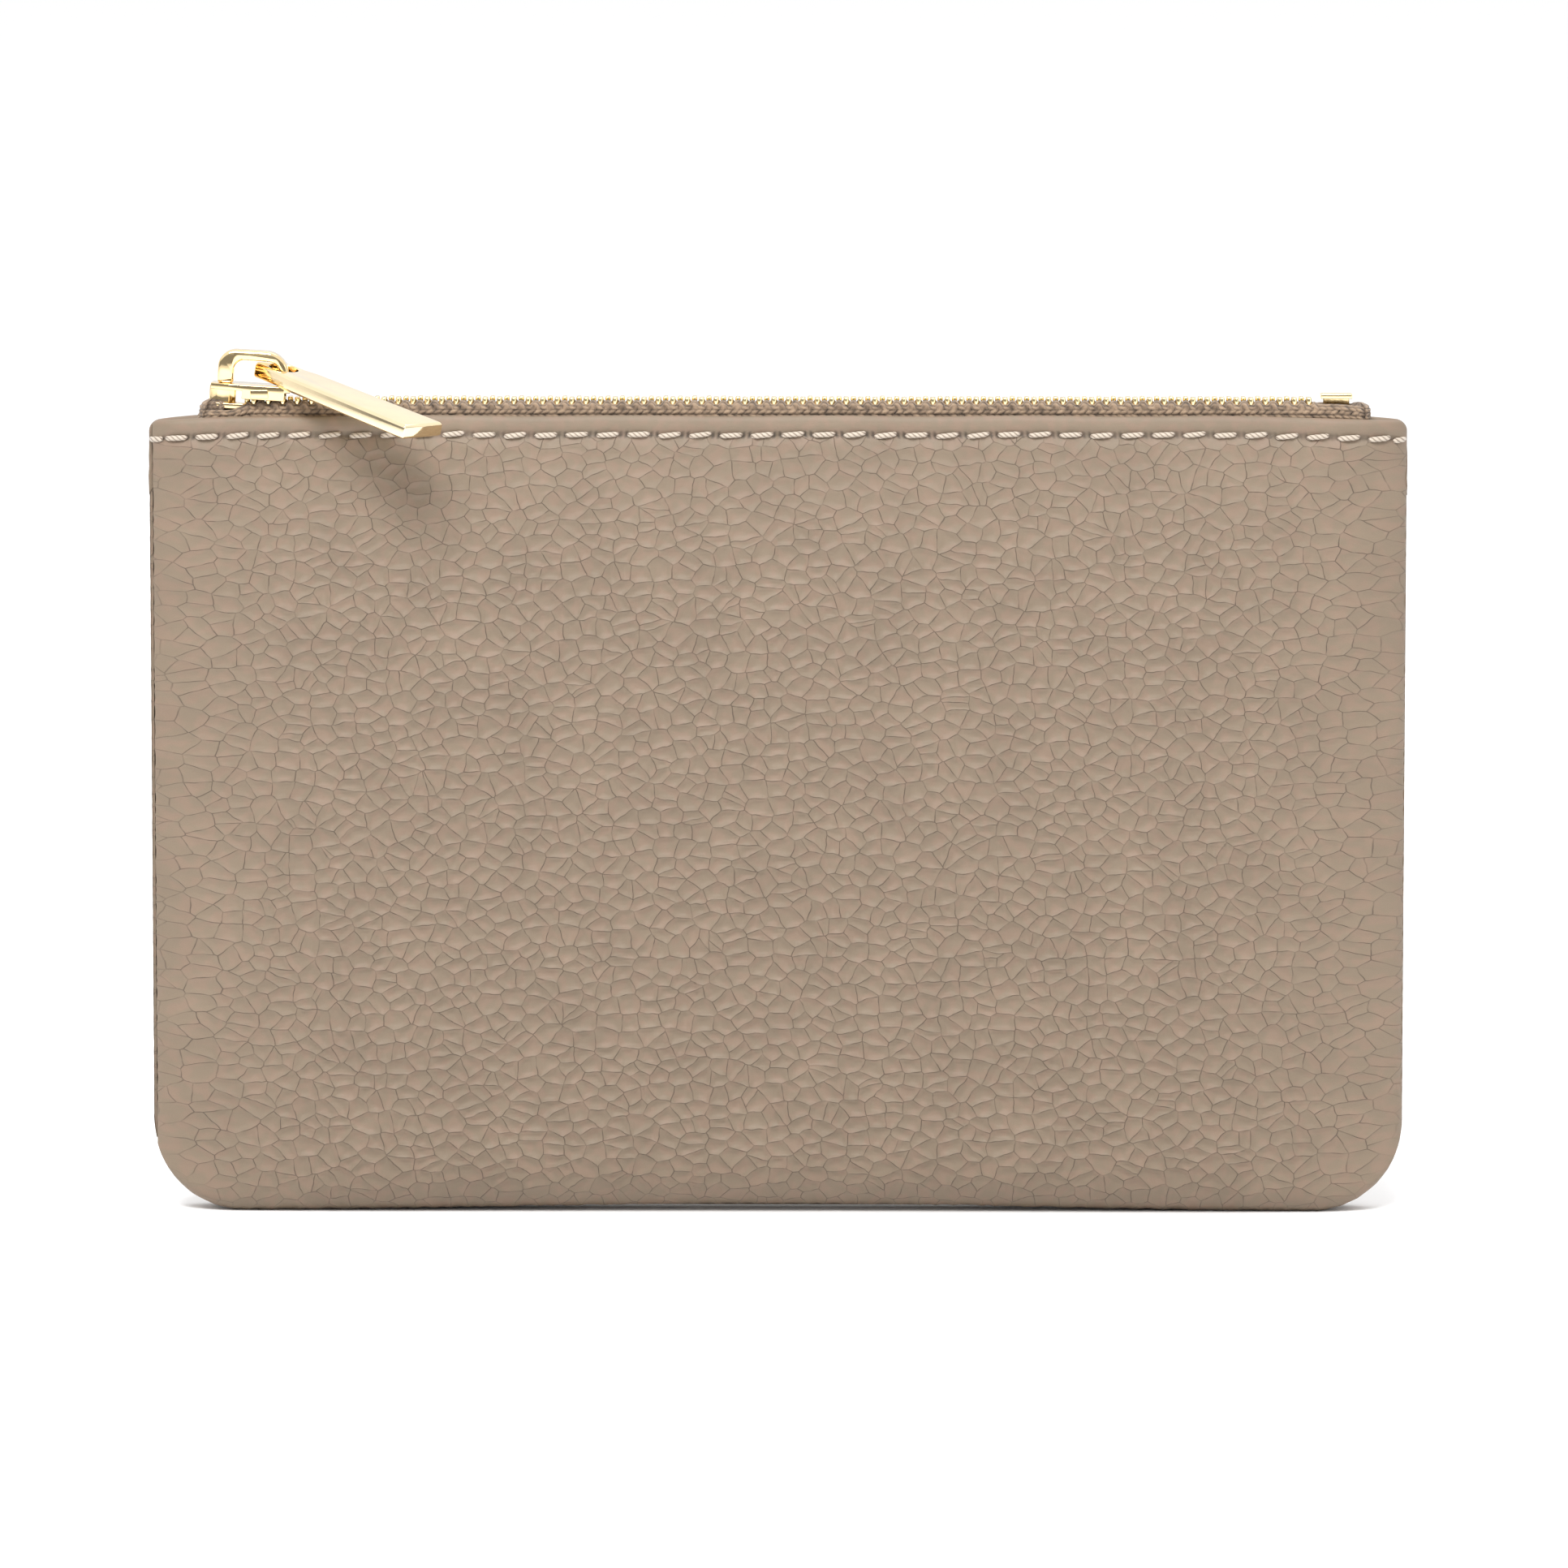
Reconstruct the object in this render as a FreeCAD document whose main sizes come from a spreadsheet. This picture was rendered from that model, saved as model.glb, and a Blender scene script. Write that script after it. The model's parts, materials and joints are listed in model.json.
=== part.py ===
"""Zippered pouch: two leather panels with a fabric lining, closed along the top by a metal zip.

Frame: X runs along the mouth, Y from the front panel to the back one, Z up. The origin is the
middle of the flat strip that the pouch stands on. Every piece of the front half is drawn on the
-Y side of the mid plane; its twin on the back half is the same piece turned half round about Z.
"""

import FreeCAD, Part
import math
import os
import re
import Sketcher

doc = FreeCAD.newDocument("zippered_pouch")
sheet = doc.addObject("Spreadsheet::Sheet", "Sizes")
pieces = []

SIZES = [
    ("pouch_width", 190, "side to side over the leather"),
    ("pouch_height", 120, "flat strip to the leather's top edge"),
    ("pouch_depth", 8.5, "mid plane to the fullest part of one panel"),
    ("mouth_depth", 4.2, "mid plane to the panel's outside at the top edge"),
    ("base_depth", 6, "mid plane to where the panel leaves the flat strip"),
    ("turn_depth", 7.4, "a level between the flat strip and the fullest part"),
    ("side_curve", 42, "how far in from a side the panel is still swelling"),
    ("mouth_curve", 66, "the same, down from the top edge"),
    ("base_curve", 12.6, "the same, up from the flat strip"),
    ("corner_radius", 14, "lower corners"),
    ("top_corner_radius", 1.5, "upper corners"),
    ("leather_thickness", 1.3, ""),
    ("front_start", 0.45, "mid plane to where the front half starts"),
    ("back_start", -0.15, "the same for the back half, which reaches over the mid plane"),
    ("base_trim", 0.12, "pared off the underside to leave it flat"),
    ("seam_allowance", 3, "leather turned in along the sides"),
    ("overrun", 1, "how far a cutting shape runs past what it cuts"),
    ("lining_gap", 0.12, "leather to lining"),
    ("lining_thickness", 0.35, ""),
    ("lining_top", 106, "level of the lining's upper hem"),
    ("zip_level", 123.5, "middle of the teeth and tapes"),
    ("tape_left", -87.7, ""),
    ("tape_length", 175.4, ""),
    ("tape_bottom", 107, ""),
    ("tape_outside", 2.75, "mid plane to the tape's outer face"),
    ("tape_thickness", 0.6, "where the tape hangs"),
    ("tape_web", 0.4, "where the tape runs in to its cord"),
    ("cord_radius", 0.42, "cord along the tape's edge"),
    ("cord_place", 1.33, "mid plane to the cord's middle"),
    ("fit_gap", 0.04, "tooth to tape and cord"),
    ("tooth_pitch", 2.18, "one row"),
    ("tooth_count", 74, "one row"),
    ("tooth_width", 0.78, "along the zip"),
    ("tooth_height", 1.5, ""),
    ("tooth_reach", 0.55, "past the mid plane"),
    ("tooth_outside", 2.1, "mid plane to the tooth's outer end"),
    ("last_tooth", 80.1, "middle of the front row's last tooth at the stop end"),
    ("stop_left", 81.9, ""),
    ("stop_length", 4.75, ""),
    ("stop_half_width", 1.9, ""),
    ("stop_thickness", 0.7, ""),
    ("stop_lift", 0.45, "underside above the middle of the tapes"),
    ("stop_tongue", 0.4, "half the width of the tongue between the tapes"),
    ("slider_tail", -73.6, "tail end with the zip closed"),
    ("slider_drop", 0.1, "channel's middle below the middle of the teeth, at the tail"),
    ("slider_pitch", 3.5, "degrees, nose up"),
    ("slider_length", 12, ""),
    ("slider_half_width", 3.5, ""),
    ("tail_half_width", 2.9, ""),
    ("nose_half_width", 2.3, ""),
    ("tail_taper", 0.8, "length of the narrowing at the tail"),
    ("nose_taper", 3, "length of the narrowing at the nose"),
    ("channel_half", 1.05, "half the height between the plates"),
    ("top_plate", 0.9, "thickness"),
    ("bottom_plate", 0.8, "thickness"),
    ("bottom_half_width", 1.9, ""),
    ("flange_length", 6.4, ""),
    ("flange_thickness", 0.65, ""),
    ("flange_bottom", -0.15, "from the channel's middle"),
    ("post_half_width", 0.85, ""),
    ("post_length", 3.8, ""),
    ("post_nose", 0.3, "past the plates"),
    ("bail_left", 0.9, "from the nose"),
    ("bail_right", 0.4, "from the tail"),
    ("bail_left_leg", 2.4, "width at the foot"),
    ("bail_right_leg", 1.5, "width at the foot"),
    ("bail_crown", 1.5, "thickness of the crown"),
    ("bail_rise", 5.1, "over the top plate"),
    ("bail_depth", 3.6, "across the zip"),
    ("bail_left_round", 2.6, "outer corner over the nose"),
    ("bail_right_round", 3.6, "outer corner over the tail"),
    ("bail_inner_round", 1.6, "inner corners"),
    ("pull_reach", 30, "middle of the eye to the free end"),
    ("pull_back", 3.9, "middle of the eye to the near end"),
    ("pull_thickness", 2.2, ""),
    ("pull_eye", 2.25, "radius of the eye"),
    ("pull_head", 3.05, "half width round the eye"),
    ("pull_shoulder", 3.6, "half width past the shoulders"),
    ("pull_end", 4.1, "half width at the free end"),
    ("head_end", 1.8, "eye to where the shoulders start"),
    ("shoulder_end", 4.2, "eye to where the shoulders end"),
    ("head_cut", 0.9, "corner cut at the near end"),
    ("pull_chamfer", 0.3, ""),
    ("pull_turn", 41, "degrees from the zip towards the front"),
    ("pull_droop", 10.5, "degrees below level"),
    ("pull_lift", 2.57, "underside over the channel's middle, at the eye"),
    ("stitch_pitch", 4.65, ""),
    ("stitch_count", 38, "one panel"),
    ("stitch_length", 3.3, "length on show"),
    ("stitch_radius", 0.42, ""),
    ("stitch_drop", 2.9, "below the top edge"),
    ("stitch_depth", 4.75, "mid plane to the stitches"),
    ("seam_inset", 1.5, "seam thread in from the leather's outline"),
    ("seam_radius", 0.12, "seam thread"),
]

for row, (name, value, note) in enumerate(SIZES, start=1):
    sheet.set(f"A{row}", name)
    sheet.set(f"B{row}", str(value))
    sheet.set(f"C{row}", note)
    sheet.setAlias(f"B{row}", name)
doc.recompute()

NAMES = {name for name, _, _ in SIZES}
CLOSE = 0.001  # two places nearer than this are one


def formula(text):
    """The same words with each driving dimension read from the sheet."""

    def reading(word):
        return "Sizes." + word[0] if word[0] in NAMES else word[0]

    return re.sub("[a-z_]+", reading, text)


def value(text):
    """A formula worked out in plain numbers, where a sketch's geometry starts."""
    return float(sheet.evalExpression(formula(text)))


def new_body(label, turned=False):
    """An empty body, which stands as drawn or half round about Z."""
    body = doc.addObject("PartDesign::Body", label)
    body.Label = label
    body.AllowCompound = True
    if turned:
        body.Placement = FreeCAD.Placement(
            FreeCAD.Vector(), FreeCAD.Rotation(FreeCAD.Vector(0, 0, 1), 180)
        )
    pieces.append(body)
    return body


def origin_part(body, role):
    return next(feature for feature in body.Origin.OriginFeatures if feature.Role == role)


def new_sketch(body, name, plane, offset="0"):
    """A sketch on one of the body's own planes, moved along that plane's normal."""
    sketch = body.newObject("Sketcher::SketchObject", name)
    sketch.AttachmentSupport = [(origin_part(body, plane), "")]
    sketch.MapMode = "FlatFace"
    sketch.setExpression("AttachmentOffset.Base.z", formula(offset))
    return sketch


def bind(sketch, constraint, name, text):
    """Adds a constraint whose value comes from the sheet."""
    index = sketch.addConstraint(constraint)
    sketch.renameConstraint(index, name)
    sketch.setExpression("Constraints." + name, formula(text))


def polygon(sketch, corners):
    """Adds a closed outline whose corners are pairs of formulas."""
    first = sketch.GeometryCount
    points = [FreeCAD.Vector(value(x), value(y), 0) for x, y in corners]
    count = len(points)
    for number in range(count):
        following = points[(number + 1) % count]
        sketch.addGeometry(Part.LineSegment(points[number], following), False)
    for number in range(count):
        here = first + number
        after = first + (number + 1) % count
        sketch.addConstraint(Sketcher.Constraint("Coincident", here, 2, after, 1))
    for number, (x, y) in enumerate(corners):
        line = first + number
        place = points[number]
        across = Sketcher.Constraint("DistanceX", -1, 1, line, 1, place.x)
        up = Sketcher.Constraint("DistanceY", -1, 1, line, 1, place.y)
        bind(sketch, across, f"across_{line}", x)
        bind(sketch, up, f"up_{line}", y)


def circle(sketch, across, up, radius):
    """Adds a circle from formulas for its middle and radius."""
    middle = FreeCAD.Vector(value(across), value(up), 0)
    round_edge = Part.Circle(middle, FreeCAD.Vector(0, 0, 1), value(radius))
    number = sketch.addGeometry(round_edge, False)
    bind(sketch, Sketcher.Constraint("DistanceX", -1, 1, number, 3, middle.x), "across", across)
    bind(sketch, Sketcher.Constraint("DistanceY", -1, 1, number, 3, middle.y), "up", up)
    bind(sketch, Sketcher.Constraint("Radius", number, value(radius)), "radius", radius)


def rounded_outline(sketch, half, low, high, low_round, high_round):
    """Adds a rectangle, even about the upright axis, with rounded corners."""
    across, bottom, top = value(half), value(low), value(high)
    small, large = value(high_round), value(low_round)
    quarter = math.pi / 2
    up = FreeCAD.Vector(0, 0, 1)

    def at(x, y):
        return FreeCAD.Vector(x, y, 0)

    def corner(x, y, radius, start):
        return Part.ArcOfCircle(Part.Circle(at(x, y), up, radius), start, start + quarter)

    sketch.addGeometry(
        [
            Part.LineSegment(at(large - across, bottom), at(across - large, bottom)),
            corner(across - large, bottom + large, large, -quarter),
            Part.LineSegment(at(across, bottom + large), at(across, top - small)),
            corner(across - small, top - small, small, 0),
            Part.LineSegment(at(across - small, top), at(small - across, top)),
            corner(small - across, top - small, small, quarter),
            Part.LineSegment(at(-across, top - small), at(-across, bottom + large)),
            corner(large - across, bottom + large, large, 2 * quarter),
        ],
        False,
    )
    rule = Sketcher.Constraint
    sketch.addConstraint([rule("Tangent", side, 2, (side + 1) % 8, 1) for side in range(8)])
    sketch.addConstraint([rule("Vertical", 2), rule("Horizontal", 4), rule("Vertical", 6)])
    sketch.addConstraint([rule("Symmetric", 0, 1, 0, 2, -2)])
    sketch.addConstraint([rule("Equal", 1, 7), rule("Equal", 3, 5)])
    bind(sketch, rule("Radius", 1, large), "low_round", low_round)
    bind(sketch, rule("Radius", 3, small), "high_round", high_round)
    bind(sketch, rule("DistanceX", 6, 1, 2, 1, 2 * across), "wide", f"2 * ( {half} )")
    bind(sketch, rule("DistanceY", -1, 1, 0, 1, bottom), "low", low)
    bind(sketch, rule("DistanceY", -1, 1, 4, 1, top), "high", high)


def loft(body, kind, name, sections):
    feature = body.newObject("PartDesign::" + kind, name)
    feature.Profile = (sections[0], [""])
    feature.Sections = [(section, [""]) for section in sections[1:]]
    feature.Ruled = True


def pad(body, name, sketch, length, midplane=False, backwards=False):
    feature = body.newObject("PartDesign::Pad", name)
    feature.Profile = sketch
    feature.setExpression("Length", formula(length))
    feature.Midplane = midplane
    feature.Reversed = backwards
    return feature


def round_edges(body, name, kind, radius, chosen):
    """Rounds or chamfers the edges of the body that a test picks."""
    doc.recompute()
    base = body.Tip
    edges = base.Shape.Edges
    names = [f"Edge{n}" for n, edge in enumerate(edges, start=1) if chosen(edge)]
    feature = body.newObject("PartDesign::" + kind, name)
    feature.Base = (base, names)
    feature.setExpression("Radius" if kind == "Fillet" else "Size", formula(radius))


def repeat_along_x(body, feature, pitch, count):
    """Repeats a feature along X."""
    pattern = body.newObject("PartDesign::LinearPattern", "Row")
    pattern.Originals = [feature]
    pattern.Direction = (origin_part(body, "X_Axis"), [""])
    pattern.Mode = "Spacing"
    pattern.setExpression("Offset", formula(pitch))
    pattern.setExpression("Occurrences", formula(count))
    body.Tip = pattern


# ---- the swell of a panel -------------------------------------------------------------------
# A panel's outside is a stack of outlines, one for each distance from the mid plane. Each is
# drawn in from the one before along a quarter of an ellipse.

LEVELS = ["mouth_depth", "base_depth", "turn_depth", "pouch_depth"]
ROUNDS = ("corner_radius", "top_corner_radius")


def slack(level):
    return f"sqrt(1 - ( {level} / pouch_depth ) ^ 2 )"


def half_width_at(level):
    return f"pouch_width / 2 - side_curve * ( 1 - {slack(level)} )"


def top_at(level):
    if level == "mouth_depth":
        return "pouch_height"
    return f"pouch_height - mouth_curve * ( {slack('mouth_depth')} - {slack(level)} )"


def bottom_at(level):
    if level in ("mouth_depth", "base_depth"):
        return "0 - base_trim"
    return f"base_curve * ( {slack('base_depth')} - {slack(level)} ) - base_trim"


def add_outside(body, start):
    """The solid swell of one panel, from the plane where it starts."""
    sketch = new_sketch(body, "Outline", "XZ_Plane", start)
    rounded_outline(sketch, "pouch_width / 2", "0 - base_trim", "pouch_height", *ROUNDS)
    sections = [sketch]
    for level in LEVELS:
        sketch = new_sketch(body, "Outline", "XZ_Plane", level)
        rounded_outline(sketch, half_width_at(level), bottom_at(level), top_at(level), *ROUNDS)
        sections.append(sketch)
    loft(body, "AdditiveLoft", "Swell", sections)


def pare_underside(body):
    """Cuts the underside off level, which leaves the flat strip that the pouch stands on."""
    sketch = new_sketch(body, "Underside", "XY_Plane")
    side = "pouch_depth + overrun"
    polygon(
        sketch,
        [
            ("0 - pouch_width / 2", f"0 - ( {side} )"),
            ("pouch_width / 2", f"0 - ( {side} )"),
            ("pouch_width / 2", side),
            ("0 - pouch_width / 2", side),
        ],
    )
    cut = body.newObject("PartDesign::Pocket", "Flat_strip")
    cut.Profile = sketch
    cut.setExpression("Length", formula("base_trim + overrun"))


def add_inside(body, kind, wall, start, mouth_top):
    """The same swell drawn in by a wall, cut away or added, from the plane where it starts."""
    rounds = (f"corner_radius - {wall}", "top_corner_radius")
    sketch = new_sketch(body, "Inline", "XZ_Plane", start)
    near_half = f"pouch_width / 2 - seam_allowance - {wall} + leather_thickness"
    rounded_outline(sketch, near_half, wall, mouth_top, *rounds)
    sections = [sketch]
    for level in LEVELS:
        sketch = new_sketch(body, "Inline", "XZ_Plane", f"{level} - {wall}")
        half = f"{half_width_at(level)} - {wall} * 0.75"
        low = f"{bottom_at(level)} + {wall}"
        if level == "mouth_depth":
            high = mouth_top
        elif level == "base_depth" and mouth_top != "pouch_height + overrun":
            high = mouth_top
        else:
            high = f"{top_at(level)} - {wall} * 0.3"
        rounded_outline(sketch, half, low, high, *rounds)
        sections.append(sketch)
    loft(body, kind, "Hollow" if kind == "SubtractiveLoft" else "Swell", sections)


def start_of(turned):
    return "back_start" if turned else "front_start"


def make_panel(label, turned):
    """One leather panel: a shallow dish, open at the mouth and towards the other panel."""
    body = new_body(label, turned)
    add_outside(body, start_of(turned))
    start = start_of(turned)
    add_inside(body, "SubtractiveLoft", "leather_thickness", start, "pouch_height + overrun")
    pare_underside(body)


def make_lining(label, turned):
    """One side of the fabric lining, which hangs just inside the leather."""
    body = new_body(label, turned)
    outer = "( leather_thickness + lining_gap )"
    inner = "( leather_thickness + lining_gap + lining_thickness )"
    add_inside(body, "AdditiveLoft", outer, start_of(turned), "lining_top")
    add_inside(body, "SubtractiveLoft", inner, start_of(turned), "lining_top + overrun")


# ---- zip ------------------------------------------------------------------------------------


def make_tape(label, turned):
    """One zip tape: it hangs inside the leather and turns in at the top to meet its cord."""
    body = new_body(label, turned)
    sketch = new_sketch(body, "Strip", "YZ_Plane", "tape_left")
    web_end = "0 - cord_place - cord_radius - fit_gap"
    inside = "tape_thickness - tape_outside"
    polygon(
        sketch,
        [
            ("0 - tape_outside", "tape_bottom"),
            (inside, "tape_bottom"),
            (inside, "zip_level - tape_web / 2"),
            (web_end, "zip_level - tape_web / 2"),
            (web_end, "zip_level + tape_web / 2"),
            (inside, "zip_level + tape_web / 2"),
            ("0 - tape_outside", "zip_level - tape_web / 2"),
        ],
    )
    pad(body, "Tape", sketch, "tape_length")


def make_tape_cord(label, turned):
    """The cord that the teeth of one row are clenched on."""
    body = new_body(label, turned)
    sketch = new_sketch(body, "Round", "YZ_Plane", "tape_left")
    circle(sketch, "0 - cord_place", "zip_level", "cord_radius")
    pad(body, "Cord", sketch, "tape_length")


def make_teeth(label, turned):
    """One row of teeth. Each is a head with two legs that straddle the tape and its cord."""
    body = new_body(label, turned)
    first = "last_tooth - tooth_width / 2 - tooth_pitch * ( tooth_count - 1 )"
    if turned:
        first = "tooth_pitch / 2 - last_tooth - tooth_width / 2"
    sketch = new_sketch(body, "Tooth_end", "YZ_Plane", first)
    slot = "( tape_web / 2 + fit_gap )"
    pocket = "( cord_radius + fit_gap )"
    low = "zip_level - tooth_height / 2"
    high = "zip_level + tooth_height / 2"
    polygon(
        sketch,
        [
            ("0 - tooth_outside", low),
            ("tooth_reach", low),
            ("tooth_reach", high),
            ("0 - tooth_outside", high),
            ("0 - tooth_outside", f"zip_level + {slot}"),
            (f"0 - cord_place - {pocket}", f"zip_level + {slot}"),
            (f"0 - cord_place - {pocket}", f"zip_level + {pocket}"),
            (f"{pocket} - cord_place", f"zip_level + {pocket}"),
            (f"{pocket} - cord_place", f"zip_level - {pocket}"),
            (f"0 - cord_place - {pocket}", f"zip_level - {pocket}"),
            (f"0 - cord_place - {pocket}", f"zip_level - {slot}"),
            ("0 - tooth_outside", f"zip_level - {slot}"),
        ],
    )
    tooth = pad(body, "Tooth", sketch, "tooth_width")
    doc.recompute()
    repeat_along_x(body, tooth, "tooth_pitch", "tooth_count")


def make_bottom_stop():
    """The plate at the closed end, with a tongue down between the tapes."""
    body = new_body("bottom_stop")
    right = "stop_left + stop_length"
    side = "stop_half_width"
    plate = new_sketch(body, "Plate_outline", "XY_Plane", "zip_level + stop_lift")
    polygon(
        plate,
        [
            ("stop_left", f"0 - {side}"),
            (right, f"0 - {side}"),
            (right, side),
            ("stop_left", side),
        ],
    )
    pad(body, "Plate", plate, "stop_thickness")
    tongue = new_sketch(body, "Tongue_outline", "XY_Plane", "zip_level - stop_thickness")
    polygon(
        tongue,
        [
            ("stop_left + stop_tongue", "0 - stop_tongue"),
            (f"{right} - stop_tongue", "0 - stop_tongue"),
            (f"{right} - stop_tongue", "stop_tongue"),
            ("stop_left + stop_tongue", "stop_tongue"),
        ],
    )
    pad(body, "Tongue", tongue, "stop_thickness + stop_lift + stop_thickness / 4")
    round_edges(body, "Corners", "Fillet", "stop_tongue / 2", is_upright)


def is_upright(edge):
    """A straight edge along the sketch's normal, Z."""
    direction = edge.tangentAt(edge.FirstParameter)
    return abs(abs(direction.z) - 1) < CLOSE and edge.Curve.TypeId == "Part::GeomLine"


def place_on_slider(body):
    """Sets a body drawn about the slider's tail at its place on the zip, nose up."""
    turn = "rotation(vector(0 ; 1 ; 0 ) ; slider_pitch )"
    where = "vector(slider_tail ; 0 ; zip_level - slider_drop )"
    body.setExpression("Placement", formula(f"placement({where} ; {turn} )"))


def plate_corners(side, tail, nose):
    """A plate's outline, nose to tail, even about X."""
    edge = [
        ("0", tail),
        ("0 - tail_taper", side),
        ("nose_taper - slider_length", side),
        ("0 - slider_length", nose),
    ]
    mirrored = [(x, f"0 - ( {y} )") for x, y in reversed(edge)]
    return edge + mirrored


def make_slider_body():
    """Two plates joined by the wedge that parts the rows, with a flange down each side."""
    body = new_body("slider_body")
    place_on_slider(body)
    top = new_sketch(body, "Top_outline", "XY_Plane", "channel_half")
    polygon(top, plate_corners("slider_half_width", "tail_half_width", "nose_half_width"))
    pad(body, "Top_plate", top, "top_plate")
    post = new_sketch(body, "Wedge_outline", "XY_Plane", "0 - channel_half - bottom_plate / 2")
    nose = "0 - slider_length - post_nose"
    polygon(
        post,
        [
            (nose, "0"),
            (f"{nose} + post_nose + post_length / 4", "0 - post_half_width"),
            (f"{nose} + post_nose + post_length / 2", "0 - post_half_width"),
            (f"{nose} + post_nose + post_length", "0"),
            (f"{nose} + post_nose + post_length / 2", "post_half_width"),
            (f"{nose} + post_nose + post_length / 4", "post_half_width"),
        ],
    )
    pad(body, "Wedge", post, "2 * channel_half + bottom_plate / 2 + top_plate / 2")
    bottom = new_sketch(body, "Bottom_outline", "XY_Plane", "0 - channel_half")
    narrow = "bottom_half_width - tail_taper / 2"
    polygon(bottom, plate_corners("bottom_half_width", narrow, narrow))
    pad(body, "Bottom_plate", bottom, "bottom_plate", backwards=True)
    for side in ("0 - ", ""):
        flange = new_sketch(body, "Flange_outline", "XY_Plane", "flange_bottom")
        outer = "slider_half_width"
        inner = "( slider_half_width - flange_thickness )"
        polygon(
            flange,
            [
                ("0 - tail_taper", f"{side}{outer}"),
                ("0 - tail_taper - flange_length", f"{side}{outer}"),
                ("0 - tail_taper - flange_length", f"{side}{inner}"),
                ("0 - tail_taper", f"{side}{inner}"),
            ],
        )
        pad(body, "Flange", flange, "channel_half - flange_bottom + top_plate / 2")


def make_slider_bail():
    """The arch on the top plate that the pull hangs on."""
    body = new_body("slider_bail")
    place_on_slider(body)
    sketch = new_sketch(body, "Arch", "XZ_Plane")
    left = "bail_left - slider_length"
    right = "0 - bail_right"
    foot = "channel_half + top_plate"
    crown = f"{foot} + bail_rise"
    polygon(
        sketch,
        [
            (left, foot),
            (f"{left} + bail_left_leg", foot),
            (f"{left} + bail_left_leg", f"{crown} - bail_crown"),
            (f"{right} - bail_right_leg", f"{crown} - bail_crown"),
            (f"{right} - bail_right_leg", foot),
            (right, foot),
            (right, crown),
            (left, crown),
        ],
    )
    pad(body, "Arch_bar", sketch, "bail_depth", midplane=True)

    def corner(x, z):
        place = FreeCAD.Vector(value(x), 0, value(z))

        def chosen(edge):
            middle = edge.valueAt((edge.FirstParameter + edge.LastParameter) / 2)
            return (middle - place).Length < CLOSE

        return chosen

    window = f"{crown} - bail_crown"
    round_edges(body, "Left_round", "Fillet", "bail_left_round", corner(left, crown))
    round_edges(body, "Right_round", "Fillet", "bail_right_round", corner(right, crown))
    inner_left = corner(f"{left} + bail_left_leg", window)
    inner_right = corner(f"{right} - bail_right_leg", window)
    round_edges(body, "Inner_left", "Fillet", "bail_inner_round", inner_left)
    round_edges(body, "Inner_right", "Fillet", "bail_inner_round", inner_right)


def make_zip_pull():
    """The flat bar with an eye, which hangs on the bail's leg and leans on the zip."""
    body = new_body("zip_pull")
    leg = "( bail_right + bail_right_leg / 2 )"
    where = (
        f"vector(slider_tail - {leg} ; 0 ; "
        "zip_level - slider_drop + pull_lift + pull_thickness / 2 / cos(pull_droop ) )"
    )
    turn = "rotation(0 - pull_turn ; pull_droop ; 0 )"
    body.setExpression("Placement", formula(f"placement({where} ; {turn} )"))
    sketch = new_sketch(body, "Bar_outline", "XY_Plane")
    edge = [
        ("0 - pull_back", "pull_head - head_cut"),
        ("head_cut - pull_back", "pull_head"),
        ("head_end", "pull_head"),
        ("shoulder_end", "pull_shoulder"),
        ("pull_reach", "pull_end"),
    ]
    corners = edge + [(x, f"0 - ( {y} )") for x, y in reversed(edge)]
    polygon(sketch, corners)
    pad(body, "Bar", sketch, "pull_thickness", midplane=True)
    doc.recompute()
    eye = new_sketch(body, "Eye", "XY_Plane")
    circle(eye, "0", "0", "pull_eye")
    hole = body.newObject("PartDesign::Pocket", "Eye_hole")
    hole.Profile = eye
    hole.Type = "ThroughAll"
    hole.Midplane = True

    def is_rim(edge):
        middle = edge.valueAt((edge.FirstParameter + edge.LastParameter) / 2)
        on_face = abs(abs(middle.z) - value("pull_thickness / 2")) < CLOSE
        return on_face and edge.Curve.TypeId == "Part::GeomLine"

    round_edges(body, "Bevel", "Chamfer", "pull_chamfer", is_rim)


# ---- thread ---------------------------------------------------------------------------------


def make_topstitch(label, turned):
    """The row of stitches below one panel's top edge, as far as they show."""
    body = new_body(label, turned)
    first = "0 - stitch_pitch * ( stitch_count - 1 ) / 2 - stitch_length / 2"
    sketch = new_sketch(body, "Stitch_end", "YZ_Plane", first)
    circle(sketch, "0 - stitch_depth", "pouch_height - stitch_drop", "stitch_radius")
    stitch = pad(body, "Stitch", sketch, "stitch_length")
    doc.recompute()
    repeat_along_x(body, stitch, "stitch_pitch", "stitch_count")


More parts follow.
